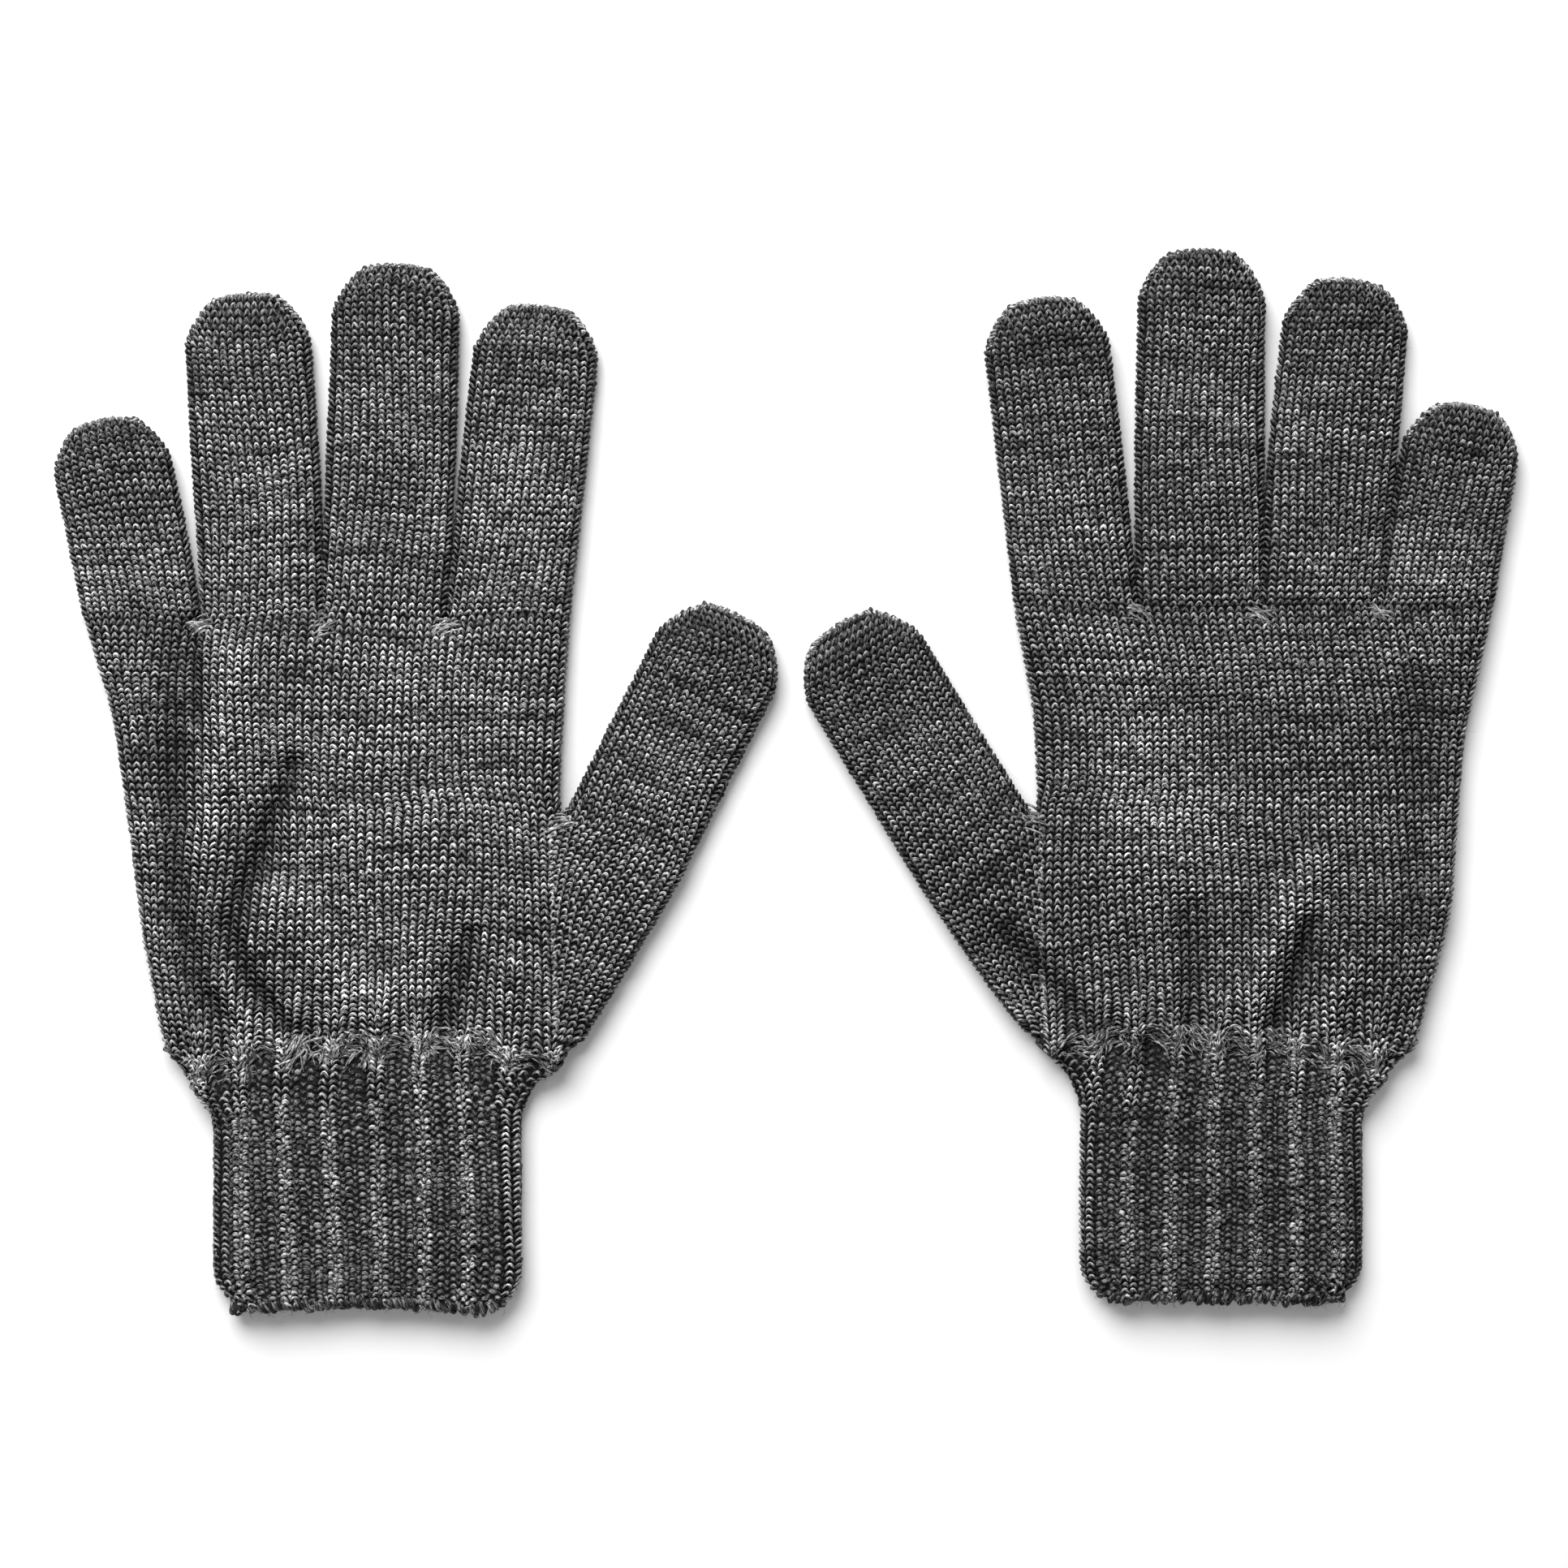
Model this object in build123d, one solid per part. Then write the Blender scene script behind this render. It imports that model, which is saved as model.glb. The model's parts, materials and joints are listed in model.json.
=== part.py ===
from build123d import *
import math
import os
from dataclasses import dataclass

os.makedirs("parts", exist_ok=True)

# A pair of knitted gloves, lying flat with the palms up. Millimetres, +Z up out of the table.
# Each glove is drawn in its own flat frame: u runs across towards the thumb, v runs from the
# cuff's mouth towards the fingertips. A glove is then placed on the table, one of them mirrored.

# Thickness of a glove that lies flat, and of its knitted wall
HEIGHT = 8.0
WALL = 1.2
BEVEL = 1.6
HEM_WALL = 1.7

# Clearances: across a hinge line, and round a piece that lies against a knitted wall
HINGE_GAP = 0.6
LAID_GAP = 0.1

# How far a cavity is drawn past an open end
CUT_THROUGH = 2.0

# Lengths from the cuff's mouth
HEM_LENGTH = 4.0
CUFF_TOP = 51.0

# Elastic thread inside the cuff
ELASTIC_RINGS = 3
ELASTIC_WIDTH = 1.2
ELASTIC_THICKNESS = 0.5

# Tie-in stitches at the forks
FORK_STITCH_LENGTH = 2.4
FORK_STITCH_INSET = 1.0

# A digit bends first at this distance from its fork, then at these shares of its length
BASE_HINGE = 7.5
FINGER_BENDS = (0.42, 0.70)
THUMB_BENDS = (0.53,)

# The rounded end of a digit, as shares of its width: distance back from the tip, distance from the axis
TIP_PROFILE = ((0.36, 0.50), (0.13, 0.38), (0.0, 0.25))

# Fingers in order across the hand. Each one's length, width at its fork, and width near its tip
FINGERS = ("little", "ring", "middle", "index")
FINGER_SIZES = {
    "little": (51.0, 28.0, 29.0),
    "ring": (80.6, 28.2, 31.4),
    "middle": (87.0, 28.6, 31.8),
    "index": (76.6, 29.4, 31.2),
}
THUMB_WIDTHS = (33.0, 33.2)

# Edges whose directions cross by less than this count as parallel
PARALLEL = 1e-6


@dataclass
class Digit:
    """One finger or thumb: its fork line's centre, its lean towards the thumb, and its size."""

    name: str
    root: tuple
    lean: float
    length: float
    root_width: float
    tip_width: float
    bends: tuple
    square_hinges: bool = False

    def along(self):
        return Vector(math.sin(math.radians(self.lean)), math.cos(math.radians(self.lean)))

    def across(self):
        return Vector(math.cos(math.radians(self.lean)), -math.sin(math.radians(self.lean)))

    def at(self, distance, offset=0.0):
        """The point at a distance from the fork along the digit, and an offset from its axis."""
        return Vector(*self.root) + self.along() * distance + self.across() * offset

    def widening(self):
        """How much wider the digit gets for each millimetre along it."""
        return (self.tip_width - self.root_width) / self.length

    def hinges(self):
        """Distances from the fork to each line that the digit bends about."""
        return [BASE_HINGE] + [share * self.length for share in self.bends]

    def segment_names(self):
        return ("base", "tip") if self.square_hinges else ("base", "middle", "tip")

    def edge_at(self, distance, side):
        """Where the hinge line through a point of the axis meets one edge of the digit.

        The fingers bend about lines straight across the glove, the thumb about lines square to itself.
        """
        skew = 0.0 if self.square_hinges else side * math.tan(math.radians(self.lean))
        half_width = (self.root_width + self.widening() * distance) / 2
        reach = half_width / (1 - self.widening() * skew / 2)
        return self.at(distance + skew * reach, side * reach)

    def tip_outline(self, side):
        """The round end on one side, from the straight edge to the flat top."""
        return [
            self.at(self.length - back * self.tip_width, side * out * self.tip_width)
            for back, out in TIP_PROFILE
        ]


@dataclass
class Glove:
    """One glove: where it lies, which way its thumb points, and the shape of its hand."""

    name: str
    mouth: tuple
    thumb_way: int
    wrist: float
    heel: tuple
    side: tuple
    knuckle: tuple
    web: tuple
    thumb_fork: tuple
    ball: tuple
    digits: dict

    def place(self, point, height):
        """A point of the flat frame, on the table at a height."""
        return Vector(self.mouth[0] + self.thumb_way * point.X, self.mouth[1] + point.Y, height)


def fingers_and_thumb(leans, roots, thumb_length):
    """The five digits of a glove, from where each one starts and how it leans."""
    digits = {}
    for name in FINGERS:
        digits[name] = Digit(name, roots[name], leans[name], *FINGER_SIZES[name], FINGER_BENDS)
    digits["thumb"] = Digit(
        "thumb", roots["thumb"], leans["thumb"], thumb_length, *THUMB_WIDTHS, THUMB_BENDS, square_hinges=True
    )
    return digits


RIGHT_GLOVE = Glove(
    name="right",
    mouth=(-102.0, -130.6),
    thumb_way=1,
    wrist=38.3,
    heel=(-49.6, 64.0),
    side=(-56.0, 95.0),
    knuckle=(-62.8, 148.0),
    web=(48.7, 152.0),
    thumb_fork=(47.1, 122.0),
    ball=(52.9, 67.0),
    digits=fingers_and_thumb(
        leans={"little": -10.7, "ring": -3.4, "middle": 2.2, "index": 5.8, "thumb": 26.8},
        roots={
            "little": (-55.5, 169.6),
            "ring": (-25.3, 170.2),
            "middle": (4.2, 171.0),
            "index": (35.0, 171.6),
            "thumb": (62.8, 114.8),
        },
        thumb_length=63.6,
    ),
)

LEFT_GLOVE = Glove(
    name="left",
    mouth=(108.4, -128.6),
    thumb_way=-1,
    wrist=35.0,
    heel=(-47.2, 63.0),
    side=(-56.4, 96.0),
    knuckle=(-60.2, 141.0),
    web=(46.4, 146.0),
    thumb_fork=(45.2, 119.8),
    ball=(47.0, 66.0),
    digits=fingers_and_thumb(
        leans={"little": -8.8, "ring": -5.5, "middle": -0.6, "index": 6.3, "thumb": 31.5},
        roots={
            "little": (-52.8, 171.0),
            "ring": (-23.8, 172.0),
            "middle": (5.7, 172.6),
            "index": (36.0, 171.4),
            "thumb": (60.1, 111.2),
        },
        thumb_length=65.8,
    ),
)

GLOVES = (RIGHT_GLOVE, LEFT_GLOVE)


def shifted(points, distances):
    """A closed outline with each edge moved inwards by its own distance; edge i starts at point i."""
    count = len(points)
    lines = []
    for index, start in enumerate(points):
        run = (points[(index + 1) % count] - start).normalized()
        inward = Vector(run.Y, -run.X)
        lines.append((start + inward * distances[index], run))
    moved = []
    for index in range(count):
        (start_a, run_a) = lines[index - 1]
        (start_b, run_b) = lines[index]
        turn = run_a.X * run_b.Y - run_a.Y * run_b.X
        if abs(turn) < PARALLEL:
            moved.append(start_b)
            continue
        between = start_b - start_a
        reach = (between.X * run_b.Y - between.Y * run_b.X) / turn
        moved.append(start_a + run_a * reach)
    return moved


def flat_faced_solid(rings):
    """A closed solid with flat faces, through rings of points that lie one above the other."""
    faces = [Face(Wire.make_polygon(rings[0])), Face(Wire.make_polygon(rings[-1]))]
    for lower, upper in zip(rings, rings[1:]):
        for index in range(len(lower)):
            after = (index + 1) % len(lower)
            corners = [lower[index], lower[after], upper[after], upper[index]]
            faces.append(Face(Wire.make_polygon(corners)))
    return Solid(Shell(faces))


def slab(glove, outline, low, high, bevel, open_edges):
    """A slab over an outline that runs clockwise, bevelled along every edge that isn't open."""
    bevels = [0.0 if index in open_edges else bevel for index in range(len(outline))]
    inner = shifted(outline, bevels)
    levels = [(inner, low), (outline, low + bevel), (outline, high - bevel), (inner, high)]
    if bevel == 0:
        levels = [(outline, low), (outline, high)]
    rings = [[glove.place(point, height) for point in points] for points, height in levels]
    return flat_faced_solid(rings)


def hollow(glove, outline, open_edges, wall=WALL, bevel=BEVEL):
    """A flattened knitted tube over an outline: a slab with a cavity that runs out of its open edges."""
    outside = slab(glove, outline, 0.0, HEIGHT, bevel, open_edges)
    depths = [-CUT_THROUGH if index in open_edges else wall for index in range(len(outline))]
    cavity = slab(glove, shifted(outline, depths), wall, HEIGHT - wall, 0.0, open_edges)
    return outside - cavity


def digit_segments(glove, digit):
    """The stretches of one digit between its hinge lines, as separate hollow tubes."""
    hinges = digit.hinges()
    names = digit.segment_names()
    solids = {}
    for index, name in enumerate(names):
        start = hinges[index] + HINGE_GAP / 2
        left_start = digit.edge_at(start, -1)
        right_start = digit.edge_at(start, 1)
        if name == "tip":
            right_end = list(reversed(digit.tip_outline(1)))
            outline = [left_start, *digit.tip_outline(-1), *right_end, right_start]
            open_edges = {len(outline) - 1}
        else:
            end = hinges[index + 1] - HINGE_GAP / 2
            outline = [left_start, digit.edge_at(end, -1), digit.edge_at(end, 1), right_start]
            open_edges = {1, 3}
        solids[f"{glove.name}_{digit.name}_{name}"] = hollow(glove, outline, open_edges)
    return solids


def stub(digit):
    """The short stump of a digit on the hand, from its fork to just short of its base hinge."""
    end = BASE_HINGE - HINGE_GAP / 2
    return [digit.edge_at(0, -1), digit.edge_at(end, -1), digit.edge_at(end, 1), digit.edge_at(0, 1)]


def hand(glove):
    """The palm and back in one tube, open at the wrist and at the end of every stump."""
    wrist_left = Vector(-glove.wrist, CUFF_TOP)
    outline = [wrist_left, Vector(*glove.heel), Vector(*glove.side), Vector(*glove.knuckle)]
    open_edges = set()
    for name in FINGERS:
        open_edges.add(len(outline) + 1)
        outline += stub(glove.digits[name])
    outline += [Vector(*glove.web), Vector(*glove.thumb_fork)]
    open_edges.add(len(outline) + 1)
    outline += stub(glove.digits["thumb"])
    outline += [Vector(*glove.ball), Vector(glove.wrist, CUFF_TOP)]
    open_edges.add(len(outline) - 1)
    return hollow(glove, outline, open_edges)


def band(glove, low, high, inset=0.0):
    """A straight stretch of the cuff's outline, between two distances from its mouth."""
    edge = glove.wrist - inset
    return [Vector(-edge, low), Vector(-edge, high), Vector(edge, high), Vector(edge, low)]


def cuff(glove):
    return hollow(glove, band(glove, HEM_LENGTH, CUFF_TOP), {1, 3})


def cuff_hem(glove):
    return hollow(glove, band(glove, 0.0, HEM_LENGTH), {1, 3}, wall=HEM_WALL)


def cuff_elastic(glove):
    """Rings of elastic thread that lie against the inside of the cuff's wall."""
    spacing = (CUFF_TOP - HEM_LENGTH) / (ELASTIC_RINGS + 1)
    depth = WALL + LAID_GAP
    rings = []
    for number in range(1, ELASTIC_RINGS + 1):
        low = HEM_LENGTH + number * spacing
        outer = band(glove, low, low + ELASTIC_WIDTH, depth)
        inner = band(glove, low - CUT_THROUGH, low + ELASTIC_WIDTH + CUT_THROUGH, depth + ELASTIC_THICKNESS)
        thread = slab(glove, outer, depth, HEIGHT - depth, 0.0, set())
        space_low = depth + ELASTIC_THICKNESS
        rings.append(thread - slab(glove, inner, space_low, HEIGHT - space_low, 0.0, set()))
    return Compound(children=rings)


def fork_stitch(glove, left_side, right_side):
    """Stitches that fill the foot of a fork, between its two sides, each given from the foot up."""
    fork = [left_side[0], left_side[1], right_side[1], right_side[0]]
    outline = shifted(fork, [LAID_GAP] * len(fork))
    return slab(glove, outline, FORK_STITCH_INSET, HEIGHT - FORK_STITCH_INSET, 0.0, set())


def fork_stitches(glove):
    """One tie-in at the foot of each fork between two fingers, and one beside the thumb."""
    sides = []
    for left_name, right_name in zip(FINGERS, FINGERS[1:]):
        left_side = [glove.digits[left_name].edge_at(reach, 1) for reach in (0, FORK_STITCH_LENGTH)]
        right_side = [glove.digits[right_name].edge_at(reach, -1) for reach in (0, FORK_STITCH_LENGTH)]
        sides.append((left_side, right_side))
    foot = Vector(*glove.thumb_fork)
    up_the_palm = (Vector(*glove.web) - foot).normalized()
    thumb_side = [glove.digits["thumb"].edge_at(reach, -1) for reach in (0, FORK_STITCH_LENGTH)]
    sides.append(([foot, foot + up_the_palm * FORK_STITCH_LENGTH], thumb_side))
    return Compound(children=[fork_stitch(glove, left, right) for left, right in sides])


def build_glove(glove):
    """Every piece of one glove by its node's name."""
    pieces = {
        f"{glove.name}_hand": hand(glove),
        f"{glove.name}_cuff": cuff(glove),
        f"{glove.name}_cuff_hem": cuff_hem(glove),
        f"{glove.name}_cuff_elastic": cuff_elastic(glove),
        f"{glove.name}_fork_stitches": fork_stitches(glove),
    }
    for digit in glove.digits.values():
        pieces.update(digit_segments(glove, digit))
    return pieces


def build_pair():
    """Both gloves, moved so that the origin is at the middle of the pair, on the table."""
    pieces = {}
    for glove in GLOVES:
        pieces.update(build_glove(glove))
    box = Compound(children=[piece.moved(Location()) for piece in pieces.values()]).bounding_box()
    centre = box.center()
    shift = Location((-centre.X, -centre.Y, 0))
    return {name: piece.moved(shift) for name, piece in pieces.items()}, shift


PIECES, SHIFT = build_pair()

for node_name, node_solid in PIECES.items():
    export_step(node_solid, f"parts/{node_name}.step")
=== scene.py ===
import json
import math

import bpy
import numpy as np
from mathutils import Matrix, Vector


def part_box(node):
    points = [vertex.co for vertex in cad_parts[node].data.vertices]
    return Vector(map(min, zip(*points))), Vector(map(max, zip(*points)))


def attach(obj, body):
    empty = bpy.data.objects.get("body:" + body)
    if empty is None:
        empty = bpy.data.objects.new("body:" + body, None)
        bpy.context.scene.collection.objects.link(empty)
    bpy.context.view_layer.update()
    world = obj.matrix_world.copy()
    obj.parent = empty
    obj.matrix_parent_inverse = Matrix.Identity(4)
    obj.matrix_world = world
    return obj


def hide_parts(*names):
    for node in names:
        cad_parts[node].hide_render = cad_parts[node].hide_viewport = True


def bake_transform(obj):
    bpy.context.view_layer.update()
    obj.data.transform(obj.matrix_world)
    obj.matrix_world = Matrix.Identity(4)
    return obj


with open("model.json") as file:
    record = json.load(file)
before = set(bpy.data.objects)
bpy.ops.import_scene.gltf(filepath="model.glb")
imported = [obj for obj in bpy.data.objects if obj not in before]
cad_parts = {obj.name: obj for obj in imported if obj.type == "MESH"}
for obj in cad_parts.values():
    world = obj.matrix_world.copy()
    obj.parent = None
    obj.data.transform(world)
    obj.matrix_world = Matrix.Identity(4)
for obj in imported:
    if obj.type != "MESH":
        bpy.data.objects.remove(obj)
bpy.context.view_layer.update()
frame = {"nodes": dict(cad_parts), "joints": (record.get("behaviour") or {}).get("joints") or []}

# A pair of gloves, knitted stitch by stitch over the frame. Metres, in the frame's own coordinates.
# Each glove is worked out in its own flat plan: across is from its middle towards the thumb, and v or
# along is from the cuff's mouth towards the fingertips.

MM = 0.001
UP = np.array([0.0, 0.0, 1.0])

# The knit: wales stand side by side, courses follow each other from the fingertips to the cuff
WALE = 2.08 * MM
COURSE = 1.52 * MM
YARN_RADIUS = 0.37 * MM
YARN_SIDES = 4

# A stitch seen from its right side is an arch that points to the fingertips. Its two legs slope back
# under the arch of the next course, whose yarn hides where neighbouring stitches join
LOOP_SAMPLES = 8
ARCH_SAMPLES_BIAS = 0.25
ARCH_POINT = 0.04
ARCH_HEIGHT = 0.95
ARCH_SPREAD = 0.03
ARCH_LIFT = 0.46 * MM
# Painted light on each stitch: painted shade on its legs and a painted highlight on its arch; purl stitches
# get painted shade between their bumps and a painted highlight on them
LEG_PAINTED_SHADE = 0.02
ARCH_PAINTED_HIGHLIGHT = 2.0
PURL_PAINTED_SHADE = 0.04
PURL_PAINTED_HIGHLIGHT = 1.5
LOOSENESS = 0.09 * MM
FILLING_WALES = 7

# Marl yarn changes its tone slowly along its length, with spots, and a little from course to course.
# Each change is a size and a spread in samples of the yarn
STREAKS = (0.18, 121)
SPOTS = (0.17, 9)
THICK_AND_THIN = (0.10, 9)
COURSE_TONE = 0.06
DARKEST = 0.25
LIGHTEST = 1.9
# Painted shade on yarn whose wall faces sideways, away from the light above
SIDEWAYS_PAINTED_SHADE = 0.25

# Loose fibres: how many stand on each piece of the palm, cuff and gusset, and on each course of a digit
FUZZ_RADIUS = 0.035 * MM
FUZZ_LENGTHS = (0.8, 2.6)
FUZZ_TONE = 1.5
FUZZ_STANDS_OFF = 0.5 * MM
FUZZ_UNDERNEATH = 0.25
PALM_FUZZ = 180
CUFF_FUZZ = 220
GUSSET_FUZZ = 60
COURSE_FUZZ = 2.2

# The flattened glove: the middle of its wall above and below the middle of its thickness
MIDDLE_HEIGHT = 4.0 * MM
HALF_HEIGHT = 3.1 * MM
# How far inside the wall the black sheet of painted shade lies
SHADE_SHEET_DEPTH = 0.55 * MM
UPPER_ROUNDNESS = 2.3
LOWER_ROUNDNESS = 3.0
COLUMNS_PER_STITCH = 3

# The knit's own outer surface lies this far outside the middle of its wall
WALL_OUT = 0.62 * MM

# How far from an edge the wall takes to curve up to its full height
PALM_EDGE = 9.0 * MM
JOINED_EDGE = 1.2 * MM
CUFF_EDGE = 8.0 * MM
GUSSET_EDGE = 11.0 * MM
FREE_EDGE = 4.0 * MM
FINGER_FREE_OVER = 5.0 * MM
THUMB_FREE_OVER = 7.0 * MM

# Where the frame's outline is read, along the glove from the cuff's mouth, and how it is rounded off
BALL_BELOW = 75.0 * MM
WEB_ABOVE = 100.0 * MM
WEB_BELOW_FORK = 8.0 * MM
CUFF_STRAIGHT_TO = 54.0 * MM
OUTLINE_ROUNDING = 8.5 * MM
WEB_ROUNDING = 4.0 * MM
GUSSET_OVERLAP = 2.2 * MM
CUFF_UNDER_PALM = 2.5 * MM

# The wedge of courses that joins the thumb to the palm
WEDGE_PAST_BALL = 5.0 * MM
WEDGE_BOW = 0.5 * MM
WEDGE_NARROWEST = 2.5 * MM

# The frame's digits start this far before their first hinge
FORK_TO_HINGE = 7.5 * MM

# The cuff's ribs, two wales plain and two purl, and where the palm is gathered into them
RIB_STITCHES = 28
RIB_REPEAT = 4
RIB_PHASE = 0.25
RIB_RELIEF = 0.65 * MM
UNDERSIDE_RELIEF = 0.35
EDGE_WALES = 2
PURL_LIFT = 0.42 * MM
PURL_HEIGHT = 0.8
PURL_THICKNESS = 1.6
PURL_LOOSENESS = 0.14 * MM
# Painted light on the ribs: painted highlight on raised ones, painted shade on sunken ones, and a line of
# painted shade where plain and purl meet
RIB_PAINTED_LIGHT_RANGE = (0.5, 1.2)
RIB_EDGE_REACH = 0.3
RIB_EDGE_PAINTED_SHADE = 0.6
PLAIN_BELOW_GATHER = 11.0 * MM
PLAIN_ABOVE_HEM = 4.0 * MM
GATHER_ABOVE_MOUTH = 64.0 * MM
HEM_ABOVE_MOUTH = 2.2 * MM

# How far the line of the gathers rises above its mean height, against the distance across the glove
GATHER_RISE = {
    "right": ((-38, -4.2), (-30, -2.6), (-19, -0.6), (-8, 0.2), (4, 2.6), (26, 3.0), (34, 0.8), (40, -1.4)),
    "left": ((-38, -2.5), (-26, -0.5), (-12, 1.6), (4, 0.9), (16, 2.2), (30, 0.2), (38, -2.0)),
}
GATHER_ROUNDING = 5 * MM

# Soft folds in each palm: the line that one runs along in the plan, its half width and its height
FOLDS = {
    "right": (
        (((-30, 160), (-37, 134), (-40, 114)), 3.6, 1.7),
        (((-18, 135), (-27, 114), (-33, 96), (-28, 82), (-16, 67)), 2.9, -2.0),
        (((-47, 165), (-48, 130), (-46, 100), (-38, 76)), 4.5, -1.2),
        (((-42, 170), (-41, 146)), 2.0, -1.5),
        (((-20, 102), (-9, 87), (5, 70)), 5.5, 1.5),
        (((-37, 84), (-28, 74), (-21, 66)), 2.4, 1.1),
        (((13, 92), (6, 78), (1, 66)), 3.0, 1.3),
        (((25, 92), (22, 78), (18, 67)), 2.6, -1.7),
        (((36, 86), (28, 66)), 2.6, 1.1),
        (((0, 150), (6, 112)), 20.0, 0.6),
    ),
    "left": (
        (((-23, 110), (-13, 91), (-5, 72)), 4.2, 2.0),
        (((-21, 94), (-14, 70)), 2.3, -1.7),
        (((-32, 84), (-22, 66)), 2.6, 1.3),
        (((54, 94), (40, 78), (30, 66), (14, 60)), 3.6, -1.5),
        (((8, 96), (9, 68)), 3.6, -1.1),
        (((23, 154), (25, 112)), 6.0, 0.8),
        (((-49, 150), (-47, 100)), 5.0, -0.9),
        (((14, 150), (12, 110)), 17.0, 0.5),
    ),
}
FORK_GROOVE = 0.6
# Painted light over the folds, the gathers and the waves: painted shade where they lie low, painted highlight
# where they stand high, kept within a range
FOLD_PAINTED_LIGHT = 0.5 / MM
GATHER_PAINTED_LIGHT = 0.3
WAVE_PAINTED_LIGHT = 0.08
FOLD_PAINTED_LIGHT_RANGE = (0.35, 1.6)

# How light each glove is, and its thumb and its fingertips beside the rest
GLOVE_SHADE = {"right": 0.57, "left": 0.45}
THUMB_SHADE = 0.88
TIP_SHADE = 0.55
TIP_FADE = 42 * MM
# Painted shade along a digit's edges, where they turn under and lie against the next digit, over this many
# wales from each edge
DIGIT_EDGE_PAINTED_SHADE = 0.25
EDGE_REACH = 1.4
CUFF_SHADE = 1.1
HEM_SHADE = 0.85

# How much fuller a finger lies on the side of the next one: all of it from this share of its length
# to near the fork, and this share of it at the fork
SPREAD_TO_NEXT = 0.9 * MM
SPREAD_FROM = 0.6
SPREAD_AT_FORK = 0.25

# How far the middle of a digit's closed end stands out beyond its corners
TIP_BOW = 1.0 * MM
BOW_FADE = 5.0 * MM

# The closed end of a digit: a flat top, then sloping shoulders. Shares are of half the digit's width
FIRST_COURSE = 1.6 * MM
SHOULDER_LENGTH = 0.76
FLAT_TOP = 0.44
SHOULDER_ROUNDNESS = 1.35
TIP_CORNER = 3.0 * MM
TIP_CORNER_INSET = 1.2 * MM
TIP_CLOSES_AT = 0.9 * MM
TIP_FULL_AFTER = 8.0 * MM

# The seam overcast round a digit's closed end
SEAM_YARNS = 2
SEAM_FROM = 11.5 * MM
SEAM_INSET = 0.8 * MM
SEAM_TURN = 1.9 * MM
SEAM_SWING = 1.1 * MM
SEAM_RADIUS = 0.42 * MM
SEAM_LOOSENESS = 0.12 * MM
SEAM_SAMPLE = 0.25 * MM

# Soft waves of the upper face: their lengths and sizes upwards, across and along the glove
WAVE_LENGTH = 34.0 * MM
WAVE_HEIGHT = 0.28 * MM
SWAY_LENGTHS = (60.0 * MM, 45.0 * MM)
SWAY_ACROSS = 0.8 * MM
SWAY_ALONG = 1.1 * MM

# At the gathers the palm stands over the cuff, and both are drawn into pleats over the ribs
PALM_SWELL = 0.8 * MM
PALM_SWELL_FADE = 8.0 * MM
CUFF_DIP = 0.7 * MM
CUFF_DIP_FADE = 6.0 * MM
PLEAT_HEIGHT = 0.6 * MM
PLEAT_PULL = 1.2 * MM
RISE_FADE = 24.0 * MM
SQUEEZE_FADE = 25.0 * MM
PALM_PLEAT_FADE = 11.0 * MM
CUFF_PLEAT_FADE = 5.0 * MM

# The cuff's corners at its mouth
CUFF_CORNER = 10.0 * MM
CUFF_CORNER_INSET = 1.25
MOUTH_BOW = 4.5 * MM
MOUTH_BOW_WIDTH = 13.0 * MM
MOUTH_BOW_FADE = 4.0 * MM
MOUTH_SHADE_FADE = 20.0 * MM
RAGGED_RIB_ENDS = 2.2 * MM

# The hem: yarns overcast round the mouth, and loose ends that hang from it
HEM_SAMPLES = 700
HEM_YARNS = 4
HEM_TURNS = (2.0, 3.4)
HEM_OUT = 0.8 * MM
HEM_ALONG = 0.9 * MM
HEM_WAVE = 0.45 * MM
HEM_RADIUS = 1.15 * YARN_RADIUS
HEM_TONE = 0.36
HEM_SPOTS = (0.4, 19)
HEM_TONES = (0.04, 1.6)
HEM_ENDS = 70
HEM_END_LENGTHS = (1.0, 3.2)
HEM_END_RADIUS = 0.07 * MM

# Yarn ends tied in at each fork
TIE_INS = 11
TIE_IN_WIDTH = 6.4 * MM
THUMB_TIE_IN_WIDTH = 5.2 * MM
TIE_IN_BELOW_FORK = 0.6 * MM
TIE_IN_RADII = (0.2, 0.34)

# Frayed strands at the gathers: bunches over the ribs, and slack ones between them
BUNCH_STRANDS = (24, 62)
BUNCH_WIDTHS = (1.5, 2.9)
BUNCH_LENGTHS = (1.6, 4.4)
BUNCH_LIFT = 0.65 * MM
BUNCH_TONE = 1.15
SLACK_STRANDS = 24
SLACK_LENGTHS = (1.6, 4.2)
SLACK_LIFT = 0.3 * MM
STRAND_RADII = (0.14, 0.30)

# Elastic rings: how far along the frame's elastic each one lies, its depth and its radius
RING_PLACES = (0.03, 0.5, 0.97)
RING_DEPTH = 1.35 * MM
RING_RADIUS = 0.32 * MM

FINGERS = ("little", "ring", "middle", "index")
CONDUCTIVE_DIGITS = ("index", "thumb")
SIDES = {"right": 1, "left": -1}

random = np.random.default_rng(11)
JOINTS = {joint["name"]: joint for joint in frame["joints"]}


def smooth(share):
    share = np.clip(share, 0.0, 1.0)
    return share * share * (3.0 - 2.0 * share)


def mix(low, high, share):
    return low + (high - low) * share


def unit(vectors):
    length = np.linalg.norm(vectors, axis=-1, keepdims=True)
    return vectors / np.maximum(length, 1e-12)


def running(steps):
    """How far along a path each point lies, from the steps between its points."""
    return np.concatenate([[0.0], np.cumsum(steps)])


def rounded_line(at, along, across, reach, samples, weights=None):
    """A line through corners, rounded off by averaging it over a short stretch either way."""
    steps = np.linspace(-reach, reach, samples)
    return np.average([np.interp(at + step, along, across) for step in steps], axis=0, weights=weights)


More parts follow.
